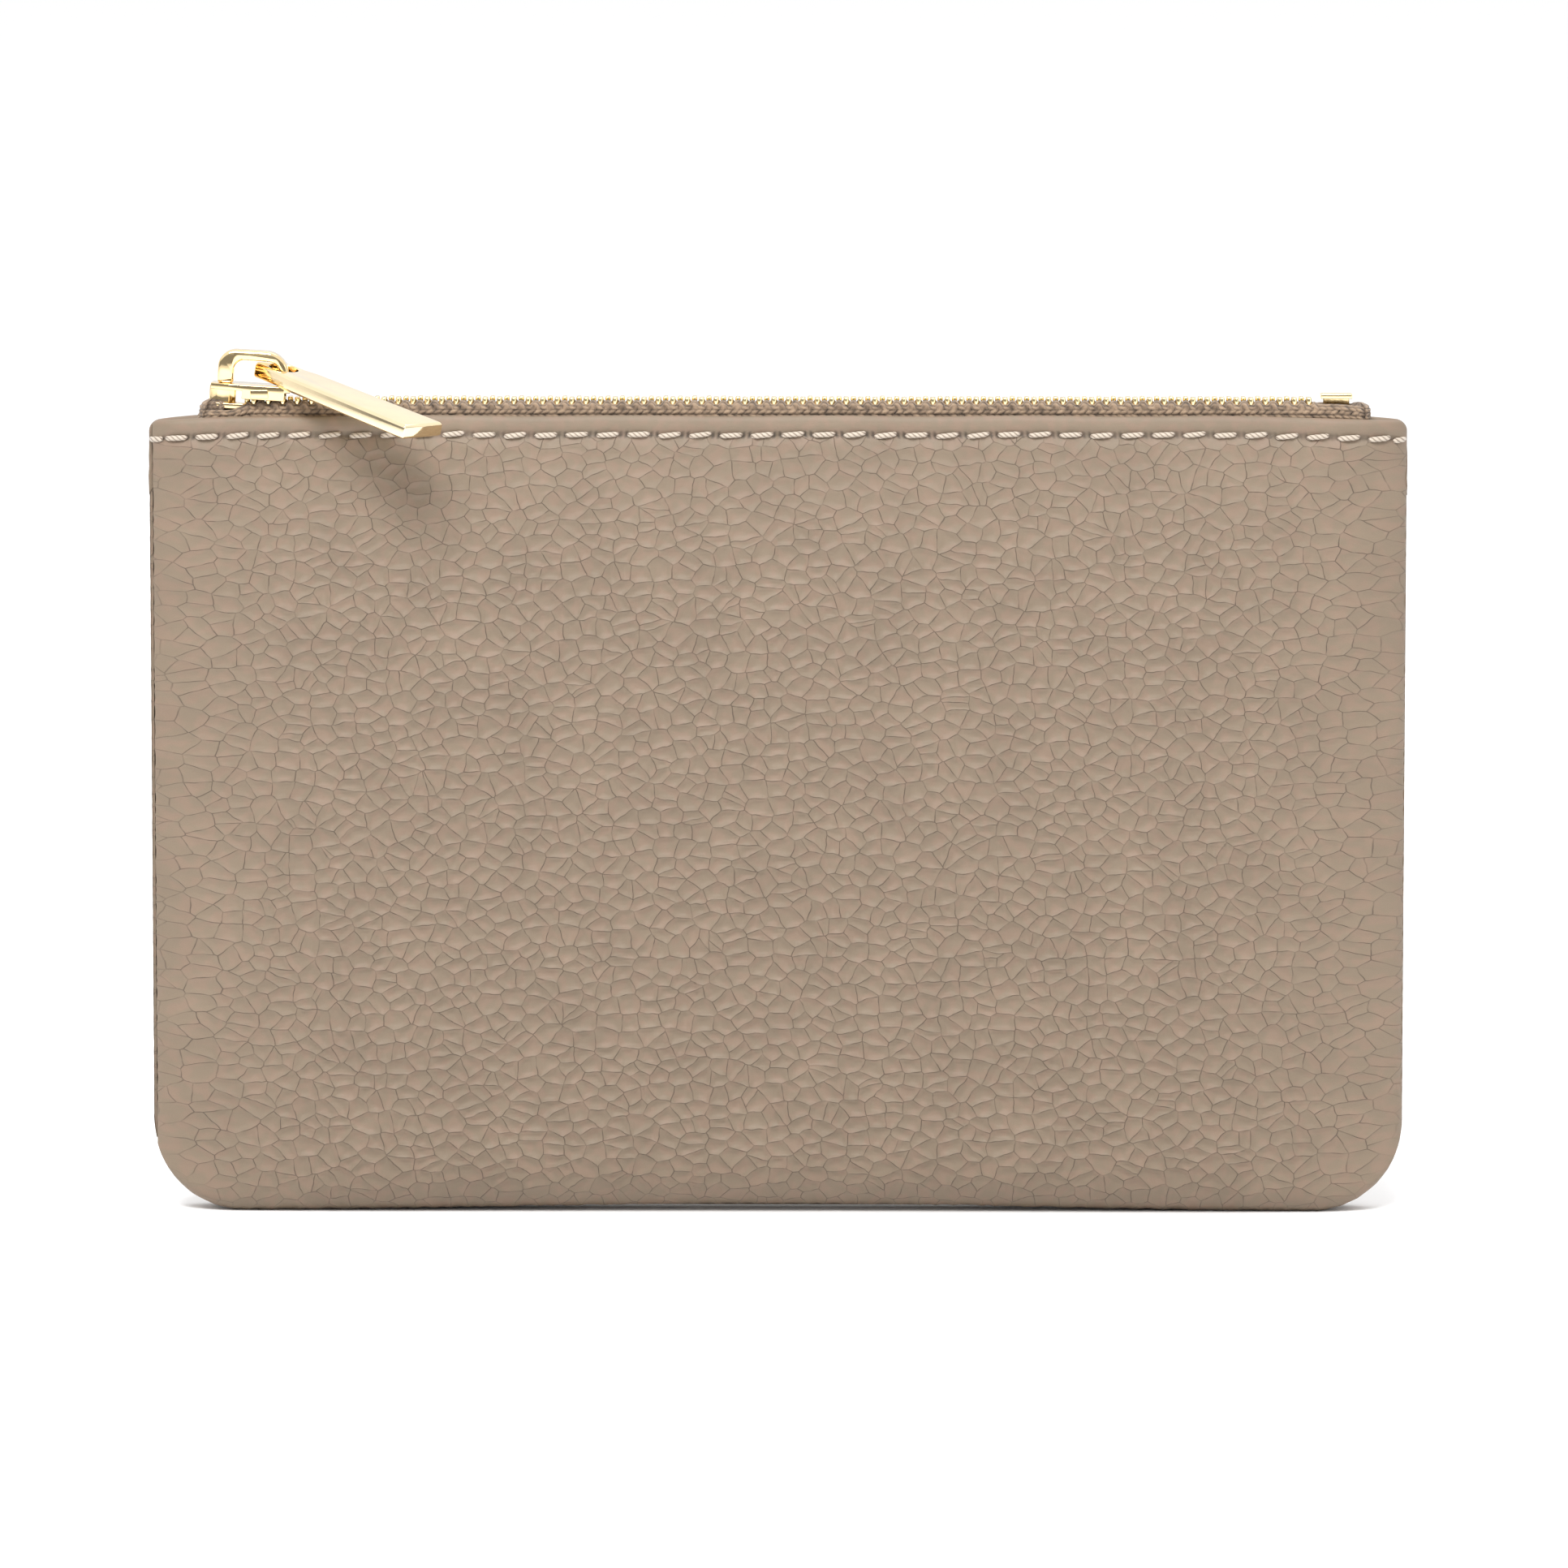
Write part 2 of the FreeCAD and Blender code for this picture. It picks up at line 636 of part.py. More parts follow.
def make_seam_thread():
    """The thread of the turned seam, down one side, along the bottom and up the other."""
    body = new_body("seam_thread")
    half = value("pouch_width / 2 - seam_inset")
    low = value("leather_thickness / 2")
    top = value("pouch_height - stitch_drop")
    bend = value("corner_radius - seam_inset")
    middle = "( front_start + 0 - back_start ) / 2"
    path = new_sketch(body, "Seam_line", "XZ_Plane", middle)
    up = FreeCAD.Vector(0, 0, 1)

    def at(x, y):
        return FreeCAD.Vector(x, y, 0)

    def corner(x, start):
        turn = Part.Circle(at(x, low + bend), up, bend)
        return Part.ArcOfCircle(turn, start, start + math.pi / 2)

    path.addGeometry(
        [
            Part.LineSegment(at(-half, top), at(-half, low + bend)),
            corner(bend - half, math.pi),
            Part.LineSegment(at(bend - half, low), at(half - bend, low)),
            corner(half - bend, 1.5 * math.pi),
            Part.LineSegment(at(half, low + bend), at(half, top)),
        ],
        False,
    )
    rule = Sketcher.Constraint
    joints = [(0, 2, 1, 1), (1, 2, 2, 1), (2, 2, 3, 1), (3, 2, 4, 1)]
    path.addConstraint([rule("Tangent", *joint) for joint in joints])
    path.addConstraint([rule("Vertical", 0), rule("Vertical", 4), rule("Equal", 1, 3)])
    path.addConstraint(rule("Symmetric", 0, 1, 4, 2, -2))
    wide = "pouch_width - 2 * seam_inset"
    bind(path, rule("DistanceX", 0, 1, 4, 2, 2 * half), "wide", wide)
    bind(path, rule("DistanceY", -1, 1, 0, 1, top), "high", "pouch_height - stitch_drop")
    bind(path, rule("DistanceY", -1, 1, 2, 1, low), "low", "leather_thickness / 2")
    bind(path, rule("Radius", 1, bend), "bend", "corner_radius - seam_inset")
    section = new_sketch(body, "Seam_end", "XY_Plane", "pouch_height - stitch_drop")
    circle(section, "seam_inset - pouch_width / 2", f"0 - {middle}", "seam_radius")
    pipe = body.newObject("PartDesign::AdditivePipe", "Thread")
    pipe.Profile = (section, [""])
    pipe.Spine = (path, [""])


for half_name, is_turned in (("front", False), ("back", True)):
    make_panel(f"{half_name}_panel", is_turned)
    make_lining(f"{half_name}_lining", is_turned)
    make_tape(f"{half_name}_zip_tape", is_turned)
    make_tape_cord(f"{half_name}_tape_cord", is_turned)
    make_teeth(f"{half_name}_teeth", is_turned)
    make_topstitch(f"{half_name}_topstitch", is_turned)
make_bottom_stop()
make_slider_body()
make_slider_bail()
make_zip_pull()
make_seam_thread()
doc.recompute()

for item in doc.Objects:
    if "Invalid" in item.State or "Error" in item.State:
        raise RuntimeError(f"{item.Label} did not recompute: {item.State}")
for piece in pieces:
    if piece.Shape.isNull() or not piece.Shape.isValid():
        raise RuntimeError(f"{piece.Label} has no valid shape")

os.makedirs("parts", exist_ok=True)
for piece in pieces:
    piece.Shape.exportStep(f"parts/{piece.Label}.step")
    box = piece.Shape.BoundBox
    print(
        f"{piece.Label}: {len(piece.Shape.Solids)} solids, {piece.Shape.Volume:.1f} mm3, "
        f"x {box.XMin:.2f} {box.XMax:.2f}, y {box.YMin:.2f} {box.YMax:.2f}, "
        f"z {box.ZMin:.2f} {box.ZMax:.2f}"
    )
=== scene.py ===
import json
import math

import bmesh
import bpy
import numpy as np
from mathutils import Matrix, Vector


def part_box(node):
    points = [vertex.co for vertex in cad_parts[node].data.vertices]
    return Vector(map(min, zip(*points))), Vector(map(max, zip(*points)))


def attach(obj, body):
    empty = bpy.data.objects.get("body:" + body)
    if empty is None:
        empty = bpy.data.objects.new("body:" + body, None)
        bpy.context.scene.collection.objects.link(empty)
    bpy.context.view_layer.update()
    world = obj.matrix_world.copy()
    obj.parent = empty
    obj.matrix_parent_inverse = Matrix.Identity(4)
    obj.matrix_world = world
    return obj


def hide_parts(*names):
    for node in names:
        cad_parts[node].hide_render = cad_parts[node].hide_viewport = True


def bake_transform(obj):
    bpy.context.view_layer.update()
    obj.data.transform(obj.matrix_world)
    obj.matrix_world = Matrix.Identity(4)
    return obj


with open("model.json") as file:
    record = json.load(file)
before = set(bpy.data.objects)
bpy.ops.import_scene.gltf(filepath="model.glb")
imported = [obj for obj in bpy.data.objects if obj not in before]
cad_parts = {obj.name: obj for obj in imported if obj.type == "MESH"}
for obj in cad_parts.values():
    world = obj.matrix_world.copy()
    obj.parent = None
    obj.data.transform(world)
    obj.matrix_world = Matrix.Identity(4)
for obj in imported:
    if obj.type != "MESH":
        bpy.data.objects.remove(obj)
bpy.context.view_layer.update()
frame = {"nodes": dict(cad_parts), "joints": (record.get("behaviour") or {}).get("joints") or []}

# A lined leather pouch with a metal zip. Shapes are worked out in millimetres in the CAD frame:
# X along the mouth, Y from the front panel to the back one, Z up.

MM = 0.001
rng = np.random.default_rng(11)


def box_mm(node):
    low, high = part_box(node)
    return np.array(low) / MM, np.array(high) / MM


def joint_named(name):
    return next(joint for joint in frame["joints"] if joint["name"] == name)


PANEL_LOW, PANEL_HIGH = box_mm("front_panel")
TAPE_LOW, _ = box_mm("front_zip_tape")
TEETH_LOW, TEETH_HIGH = box_mm("front_teeth")
_, BACK_TEETH_HIGH = box_mm("back_teeth")
SLIDER_LOW, SLIDER_HIGH = box_mm("slider_body")

HALF = PANEL_HIGH[0]  # half the pouch's width
HEIGHT = PANEL_HIGH[2]
FULL = -PANEL_LOW[1]  # mid plane to the fullest part
TAPE_FACE = -TAPE_LOW[1]  # mid plane to the zip tape's outside
TAPE_LEFT = -TAPE_LOW[0]  # middle of the pouch to the tape's left end
TAPE_RIGHT = 89.2  # and to its right end, a little past the tape in CAD
ZIP_DROP = 0.3  # how far the zip lies below its place in CAD
ZIP_LEVEL = (TEETH_LOW[2] + TEETH_HIGH[2]) / 2 - ZIP_DROP

CORNER = 14.0  # lower corner radius
TOP_CORNER = 1.5
TOP_RISE = 1.2  # top edge above the CAD panel, in the middle
TOP_FALL = 1.0  # how much of that rise is gone at the side seams
ARCH = 1.0  # rise of the bottom edge in the middle
RIM = 0.85  # radius of the turned top edge
MOUTH = 4.2 / FULL  # share of the full depth at the top edge
BASE = 0.35  # share of the full depth at the bottom edge
SIDE_CURVE, TOP_CURVE, BASE_CURVE = 42.0, 66.0, 9.6  # about how far in the depth is full
SIDE_STEP = 0.55  # how far the back panel shows past the front one at the left
GRID_STEP = 0.42  # mesh spacing of the leather
BASE_ROWS = 6
WALL_ROWS = int(HEIGHT / GRID_STEP)
PEBBLE_HEIGHT = 0.52
GRAIN_APART = 130  # shift of each panel's grain, so that the two differ
EDGE_STRETCH = 18  # how far in from the side seams the grain is drawn out

STITCH_DROP = 2.8  # stitch line below the top edge
STITCH_PITCH = 4.65
STITCH_COUNT = 40
STITCH_LONG, STITCH_SHORT = 3.55, 2.3  # the short ones lie at the side seams
STITCH_THICK = 0.42  # radius of the thread
STITCH_RINGS, STITCH_AROUND = 22, 18

TOOTH_PITCH = 2.18
TOOTH_COUNT = 74
TOOTH_HALF = 0.39  # half a tooth along the zip
TAPE_FOOT = 112  # lowest level of the tape, inside the pouch
TAPE_BEND = 0.95  # radius of the tape's bead, next to the teeth
TAPE_STEP = 0.16  # mesh spacing along the tape

LINING_INSET = 3.2  # side seam of the leather to the lining's edge
LINING_TOP = HEIGHT - 4.5
LINING_THICK = 0.3

STOP_SINK = 0.28  # bottom stop, down on to the lowered zip
PULL_TIP = 3.0  # degrees that the pull hangs below its place in CAD

SIDES = (("left", -1), ("right", 1))
FACES = (("front", -1), ("back", 1))


# ---- mesh helpers ---------------------------------------------------------------------------


def grid_faces(rows, columns, wrap=False):
    """Quads of a grid of rows x columns points, closed round its rows if it wraps."""
    r = np.arange(rows - 1)[:, None]
    c = np.arange(columns if wrap else columns - 1)[None, :]
    n = (c + 1) % columns
    quads = [r * columns + c, r * columns + n, (r + 1) * columns + n, (r + 1) * columns + c]
    return np.stack(quads, -1).reshape(-1, 4)


def new_mesh(name, points, faces, material):
    """A smooth object from points in millimetres and quads."""
    mesh = bpy.data.meshes.new(name)
    points = np.asarray(points, float).reshape(-1, 3) * MM
    faces = np.asarray(faces, np.int32)
    count = len(faces)
    mesh.vertices.add(len(points))
    mesh.vertices.foreach_set("co", points.ravel())
    mesh.loops.add(count * 4)
    mesh.loops.foreach_set("vertex_index", faces.ravel())
    mesh.polygons.add(count)
    mesh.polygons.foreach_set("loop_start", np.arange(count, dtype=np.int32) * 4)
    mesh.polygons.foreach_set("use_smooth", np.ones(count, bool))
    mesh.update(calc_edges=True)
    mesh.validate()
    piece = bpy.data.objects.new(name, mesh)
    bpy.context.scene.collection.objects.link(piece)
    mesh.materials.append(material)
    return piece


def store(piece, name, values):
    """Keeps a number or a vector for each point."""
    values = np.asarray(values, np.float32)
    vector = values.ndim > 1
    kind = "FLOAT_VECTOR" if vector else "FLOAT"
    attribute = piece.data.attributes.new(name, kind, "POINT")
    attribute.data.foreach_set("vector" if vector else "value", values.ravel())


def join_meshes(parts):
    """Points and faces of several meshes as one."""
    points, faces, start = [], [], 0
    for p, f in parts:
        p = np.asarray(p).reshape(-1, 3)
        points.append(p)
        faces.append(np.asarray(f) + start)
        start += len(p)
    return np.concatenate(points), np.concatenate(faces)


def smoothstep(low, high, x):
    """0 at low, 1 at high, eased between them."""
    t = np.clip((x - low) / (high - low), 0, 1)
    return t * t * (3 - 2 * t)


# ---- materials ------------------------------------------------------------------------------


class Nodes:
    """Short calls for a material's or a modifier's node tree."""

    def __init__(self, tree):
        self.tree = tree

    def add(self, kind, *inputs, **settings):
        node = self.tree.nodes.new(kind)
        for key, setting in settings.items():
            setattr(node, key, setting)
        for place, what in enumerate(inputs):
            self.put(node.inputs[place], what)
        return node

    def put(self, socket, what):
        if what is None:
            return
        if isinstance(what, bpy.types.NodeSocket):
            self.tree.links.new(what, socket)
        else:
            socket.default_value = what

    def math(self, operation, a, b=None):
        return self.add("ShaderNodeMath", a, b, operation=operation).outputs[0]

    def vector(self, operation, a, b=None):
        return self.add("ShaderNodeVectorMath", a, b, operation=operation).outputs[0]

    def ramp(self, x, low, high, to_low=0.0, to_high=1.0, kind="SMOOTHSTEP"):
        node = self.add("ShaderNodeMapRange", interpolation_type=kind)
        for name, what in (
            ("Value", x),
            ("From Min", low),
            ("From Max", high),
            ("To Min", to_low),
            ("To Max", to_high),
        ):
            self.put(node.inputs[name], what)
        return node.outputs["Result"]

    def noise(self, place, scale, detail, roughness=0.5):
        node = self.add("ShaderNodeTexNoise")
        self.put(node.inputs["Vector"], place)
        node.inputs["Scale"].default_value = scale
        node.inputs["Detail"].default_value = detail
        node.inputs["Roughness"].default_value = roughness
        return node

    def cells(self, place, scale, feature="DISTANCE_TO_EDGE"):
        node = self.add("ShaderNodeTexVoronoi", feature=feature, voronoi_dimensions="2D")
        self.put(node.inputs["Vector"], place)
        node.inputs["Scale"].default_value = scale
        node.inputs["Randomness"].default_value = 1.0
        return node

    def mix(self, share, a, b, blend="MIX"):
        node = self.add("ShaderNodeMix", data_type="RGBA", blend_type=blend)
        self.put(node.inputs[0], share)
        self.put(node.inputs[6], a)
        self.put(node.inputs[7], b)
        return node.outputs[2]

    def darken(self, colour, share):
        grey = self.add("ShaderNodeCombineColor", share, share, share).outputs[0]
        return self.mix(1.0, colour, grey, "MULTIPLY")


def new_material(name, **settings):
    """A material with its Principled shader's own sockets set."""
    material = bpy.data.materials.new(name)
    material.use_nodes = True
    nodes = Nodes(material.node_tree)
    shader = material.node_tree.nodes["Principled BSDF"]
    for key, setting in settings.items():
        shader.inputs[key.replace("_", " ")].default_value = setting
    return material, nodes, shader


def read_attribute(nodes, name, vector=True):
    """What store() kept in the mesh, as a shader reads it."""
    node = nodes.add("ShaderNodeAttribute", attribute_name=name)
    return node.outputs["Vector" if vector else "Fac"]


def bump(nodes, shader, height, distance, strength):
    node = nodes.add("ShaderNodeBump")
    node.inputs["Strength"].default_value = strength
    node.inputs["Distance"].default_value = distance
    nodes.put(node.inputs["Height"], height)
    nodes.put(shader.inputs["Normal"], node.outputs[0])


CELLS_PER_MM = (0.350, 0.455, 0.0)


def pebbles(nodes, place):
    """Bent places in millimetres, and how far each lies from the nearest crease."""
    warp = nodes.noise(place, 0.22, 2.0).outputs["Color"]
    warp = nodes.vector("SUBTRACT", warp, (0.5, 0.5, 0.5))
    bent = nodes.vector("MULTIPLY_ADD", warp, (1.6, 1.6, 0.0))
    nodes.put(bent.node.inputs[2], place)
    scaled = nodes.vector("MULTIPLY", bent, CELLS_PER_MM)
    near = nodes.math("MULTIPLY", nodes.cells(scaled, 1.0).outputs["Distance"], 2.5)
    return bent, near


LEATHER = (0.203, 0.154, 0.107, 1)
LEATHER_WARM = (0.222, 0.157, 0.111, 1)
# Painted shade for the creases of the grain.
LEATHER_CREASE_SHADE = (0.070, 0.048, 0.034, 1)
# Painted shade for the stitch holes.
HOLE_SHADE = (0.02, 0.014, 0.01, 1)
# Dark end of the tape's tone: darker yarns, and painted shade between the yarns.
TAPE_DARK_AND_SHADE = (0.045, 0.028, 0.018, 1)
TAPE_LIGHT = (0.395, 0.275, 0.178, 1)
# Painted shade between the thread's plies and at the stitch ends.
THREAD_SHADE = (0.180, 0.128, 0.090, 1)
THREAD_LIGHT = (0.560, 0.480, 0.390, 1)
LINING_DARK = (0.150, 0.110, 0.082, 1)
LINING_LIGHT = (0.270, 0.210, 0.165, 1)


def make_leather():
    """Matt taupe leather, with painted shade in the creases of its grain and in the stitch holes."""
    material, nodes, shader = new_material("leather", Roughness=0.52, Specular_IOR_Level=0.42)
    place = read_attribute(nodes, "grain")
    amount = read_attribute(nodes, "pebble", vector=False)
    hole_and_shade = read_attribute(nodes, "hole_and_shade", vector=False)
    bent, near = pebbles(nodes, place)
    patchy = nodes.noise(place, 0.11, 3.0).outputs["Fac"]
    # Crease lines of the grain: they sink the bump and also get painted shade.
    lines = nodes.ramp(near, 0.015, 0.085, 1.0, 0.0)
    lines = nodes.math("MULTIPLY", lines, nodes.ramp(amount, 0.0, 0.5))
    broken = nodes.ramp(nodes.noise(place, 0.55, 3.0).outputs["Fac"], 0.35, 0.6, 0.4, 1.0)
    lines = nodes.math("MULTIPLY", lines, broken)
    tone = nodes.noise(bent, 0.5, 1.0).outputs["Fac"]
    base = nodes.mix(nodes.ramp(tone, 0.4, 0.65), LEATHER, LEATHER_WARM)
    cloud = nodes.ramp(patchy, 0.3, 0.7, 0.94, 1.06, "LINEAR")
    speck = nodes.noise(place, 9.0, 3.0, 0.7).outputs["Fac"]
    cloud = nodes.math("MULTIPLY", cloud, nodes.ramp(speck, 0.3, 0.7, 0.93, 1.06, "LINEAR"))
    base = nodes.darken(base, cloud)
    # Painted shade in the creases of the grain.
    base = nodes.mix(nodes.math("MULTIPLY", lines, 0.82), base, LEATHER_CREASE_SHADE)
    # Painted shade in the stitch holes.
    base = nodes.mix(nodes.math("MULTIPLY", hole_and_shade, 0.9), base, HOLE_SHADE)
    nodes.put(shader.inputs["Base Color"], base)
    rough = nodes.ramp(speck, 0.3, 0.7, 0.46, 0.62, "LINEAR")
    nodes.put(shader.inputs["Roughness"], rough)
    dome = nodes.ramp(near, 0.0, 0.35)
    pores = nodes.cells(place, 2.6, "F1").outputs["Distance"]
    pores = nodes.ramp(pores, 0.0, 0.22, -1.0, 0.0)
    height = nodes.math("MULTIPLY", dome, nodes.math("MULTIPLY", amount, 0.35))
    height = nodes.math("SUBTRACT", height, nodes.math("MULTIPLY", lines, 0.4))
    height = nodes.math("ADD", height, nodes.math("MULTIPLY", pores, 0.10))
    height = nodes.math("ADD", height, nodes.math("MULTIPLY", speck, 0.22))
    bump(nodes, shader, height, distance=0.00016, strength=0.8)
    return material


def make_tape_material():
    """Woven tape, with painted shade between its yarns."""
    material, nodes, shader = new_material("tape", Roughness=0.85, Sheen_Weight=0.25)
    yarn_tone_and_shade = read_attribute(nodes, "yarn_tone_and_shade", vector=False)
    place = read_attribute(nodes, "grain")
    fibres = nodes.noise(nodes.vector("MULTIPLY", place, (3.0, 9.0, 1.0)), 1.6, 4.0, 0.7)
    fibres = fibres.outputs["Fac"]
    tone = nodes.math("ADD", nodes.math("MULTIPLY", yarn_tone_and_shade, 0.8), nodes.math("MULTIPLY", fibres, 0.5))
    # Random yarn tone, with painted shade between the yarns.
    colour = nodes.mix(nodes.ramp(tone, 0.25, 1.15), TAPE_DARK_AND_SHADE, TAPE_LIGHT)
    nodes.put(shader.inputs["Base Color"], colour)
    bump(nodes, shader, fibres, distance=0.0002, strength=0.9)
    return material


def make_thread_material():
    """Twisted thread, with painted shade between its plies and at its ends."""
    material, nodes, shader = new_material("thread", Roughness=0.6, Sheen_Weight=0.3)
    ply_and_shade = read_attribute(nodes, "ply_and_shade", vector=False)
    place = read_attribute(nodes, "grain")
    hairs = nodes.noise(place, 7.0, 4.0, 0.7).outputs["Fac"]
    # Painted shade between the plies and at the stitch ends.
    colour = nodes.mix(nodes.ramp(ply_and_shade, 0.0, 0.6), THREAD_SHADE, THREAD_LIGHT)
    shade = nodes.ramp(hairs, 0.3, 0.7, 0.86, 1.04, "LINEAR")
    nodes.put(shader.inputs["Base Color"], nodes.darken(colour, shade))
    bump(nodes, shader, hairs, distance=0.00008, strength=0.7)
    return material


def make_gold(name, colour, roughness):
    """Polished pale gold with faint rubbing marks."""
    material, nodes, shader = new_material(name, Metallic=1.0)
    place = nodes.add("ShaderNodeTexCoord").outputs["Object"]
    rub = nodes.noise(nodes.vector("MULTIPLY", place, (900.0, 2600.0, 900.0)), 1.0, 3.0)
    rub = rub.outputs["Fac"]
    wear = nodes.noise(place, 240.0, 3.0).outputs["Fac"]
    nodes.put(shader.inputs["Roughness"], nodes.ramp(rub, 0.3, 0.7, roughness, roughness * 1.5))
    deep = tuple(part * 0.95 for part in colour[:3]) + (1,)
    nodes.put(shader.inputs["Base Color"], nodes.mix(nodes.ramp(wear, 0.35, 0.7), colour, deep))
    bump(nodes, shader, rub, distance=0.000006, strength=0.2)
    return material


def make_lining_material():
    """Plain twill."""
    material, nodes, shader = new_material("lining", Roughness=0.8, Sheen_Weight=0.2)
    place = read_attribute(nodes, "grain")
    wave = nodes.add("ShaderNodeTexWave", bands_direction="DIAGONAL")
    nodes.put(wave.inputs["Vector"], place)
    wave.inputs["Scale"].default_value = 1.1
    wave.inputs["Distortion"].default_value = 0.6
    twill = wave.outputs["Fac"]
    colour = nodes.mix(twill, LINING_DARK, LINING_LIGHT)
    nodes.put(shader.inputs["Base Color"], colour)
    bump(nodes, shader, twill, distance=0.0001, strength=0.6)
    return material


leather = make_leather()
tape_cloth = make_tape_material()
thread = make_thread_material()
gold = make_gold("gold", (1.0, 0.83, 0.54, 1), 0.06)
slider_gold = make_gold("slider_gold", (0.93, 0.72, 0.40, 1), 0.07)
zip_gold = make_gold("zip_gold", (1.0, 0.82, 0.46, 1), 0.14)
lining_cloth = make_lining_material()


# ---- leather --------------------------------------------------------------------------------


def swell(inset, curve, start):
    """Share of the full depth at a distance in from an edge, along a quarter of an ellipse."""
    reach = math.sqrt(1 - start * start)
    return np.sqrt(np.clip(1 - np.clip(reach - inset / curve, 0, 1) ** 2, 0, 1))


def top_level(x):
    """Height of the leather's top edge."""
    past = np.clip(np.abs(x) - (HALF - TOP_CORNER), 0, TOP_CORNER)
    corner = TOP_CORNER - np.sqrt(TOP_CORNER**2 - past**2)
    return HEIGHT + TOP_RISE - TOP_FALL * (x / HALF) ** 10 + 0.07 * np.sin(x * 0.21) - corner


def bottom_level(x):
    """Height of the leather's bottom edge."""
    past = np.clip(np.abs(x) - (HALF - CORNER), 0, CORNER)
    middle = np.clip(1 - (x / (HALF - CORNER)) ** 2, 0, 1)
    return CORNER - np.sqrt(np.clip(CORNER**2 - past**2, 0, None)) + ARCH * middle**2.2


def panel_depth(x, z):
    """Distance from the mid plane to a panel's outside."""
    side = np.clip(swell(HALF - np.abs(x), SIDE_CURVE, 0.0), 1e-3, 1)
    top = swell(top_level(x) - z, TOP_CURVE, MOUTH)
    base = swell(z - bottom_level(x), BASE_CURVE, BASE)
    sharp = 5.0
    total = side**-sharp + top**-sharp + base**-sharp - 2
    lumps = 0.12 * np.sin(x * 0.11 + 1.3) * np.sin(z * 0.09 + 0.4)
    lumps = lumps + 0.10 * np.sin(x * 0.29 + z * 0.05)
    return (FULL - 0.2) * total ** (-1 / sharp) + lumps * side * smoothstep(0, 25, z)


def stitch_level(x):
    """Height of the line of top stitches."""
    return top_level(x) - STITCH_DROP


def stitch_dip(x, z):
    """How far the stitches pull the leather in, and how much painted shade their holes get."""
    away = z - stitch_level(x)
    phase = np.abs((x / STITCH_PITCH + 0.5) % 1 - 0.5) * STITCH_PITCH
    line = np.exp(-((away / 0.75) ** 2))
    hole_and_shade = np.exp(-((away / 0.36) ** 2) - (((phase - 0.42) / 0.26) ** 2))
    bulge = np.exp(-(((away + 1.9) / 1.3) ** 2)) * 0.16 + np.exp(-(((away - 1.6) / 1.0) ** 2)) * 0.2
    bridge = np.exp(-((away / 0.6) ** 2) - ((phase / 0.3) ** 2))
    return 0.32 * line + 0.5 * hole_and_shade - 0.16 * bridge - bulge, np.clip(hole_and_shade * 1.1, 0, 1)


def panel_columns():
    """Distances in from a side seam, and the most depth allowed at each.

    The first ones curl back to the seam, then they lie close together, then evenly.
    """
    edge = np.array([0.45, 0.2, 0.05, 0.0, 0.04, 0.12, 0.25, 0.42, 0.65])
    rest = np.linspace(0.95, HALF, int((HALF - 0.95) / GRID_STEP))
    depth_cap = np.full(len(edge) + len(rest), np.inf)
    depth_cap[:4] = [0.02, 0.1, 0.26, 0.5]
    return np.concatenate([edge, rest]), depth_cap


def panel_rows(x, inset, cap):
    """Rows of points from the mid plane under the bottom, up the outside and down the inside.

    The second result is each point's place in the grain, measured along the leather.
    """
    low = bottom_level(x)
    high = top_level(x) - RIM
    rows = []
    grain = []
    base_depth = np.minimum(panel_depth(x, low), cap)
    for u in np.linspace(0, 1, BASE_ROWS):
        rows.append((x, base_depth * u, low + 0.4 * (1 - u) ** 3))
        grain.append(low - base_depth * (1 - u))
    for u in np.linspace(0, 1, WALL_ROWS)[1:]:
        z = low + (high - low) * u
        dip, _ = stitch_dip(x, z)
        depth = np.minimum(panel_depth(x, z), cap)
        depth = np.maximum(depth - dip * smoothstep(0.2, 3, inset), 0.02)
        rows.append((x, depth, z))
        grain.append(z)
    top_depth = rows[-1][1]
    room = np.minimum(RIM, top_depth / 2 * 0.96)
    for angle in np.linspace(0, math.pi, 9)[1:]:
        y = top_depth - room * (1 - math.cos(angle))
        rows.append((x, y, high + RIM * math.sin(angle)))
        grain.append(high + RIM * angle)
    inside = 9  # how far the leather hangs down inside
    for u in np.linspace(0, 1, 7)[1:]:
        rows.append((x, top_depth - 2 * room, high - inside * u))
        grain.append(high + RIM * math.pi + inside * u)
    return np.array(rows).transpose(0, 2, 1), np.array(grain)


def store_grain(piece, points, grain, inset, face):
    """Keeps the grain's place, its strength and the painted shade of the stitch holes in a panel's
    mesh.
    """
    across, z = points[..., 0], points[..., 2]
    stretch = np.stack([across + GRAIN_APART * face, grain, np.zeros_like(z)], -1)
    near = np.clip((EDGE_STRETCH - inset) / EDGE_STRETCH, 0, 1)[None, :]
    stretch[..., 0] -= np.sign(across) * near**2 * 4.5
    store(piece, "grain", stretch.reshape(-1, 3))
    away = stitch_level(across) - z
    band = smoothstep(-0.6, 1.2, away)
    edges = smoothstep(0.3, 9, inset)[None, :] * 0.45 + 0.55
    base = smoothstep(-1, 9, z - bottom_level(across)) * 0.7 + 0.3
    calm = 0.5 + 0.5 * smoothstep(2, 22, away) * smoothstep(2, 30, inset)[None, :]
    pebble = (0.06 + 0.94 * band) * edges * base * calm
    store(piece, "pebble", pebble.ravel())
    outside = np.zeros((len(points), 1))
    outside[BASE_ROWS : BASE_ROWS + WALL_ROWS - 1] = 1
    # Painted shade of the stitch holes, kept for the leather's colour.
    _, hole_and_shade = stitch_dip(across, z)
    hole_and_shade = hole_and_shade * outside * smoothstep(0.8, 2, inset)[None, :]
    store(piece, "hole_and_shade", hole_and_shade.ravel())


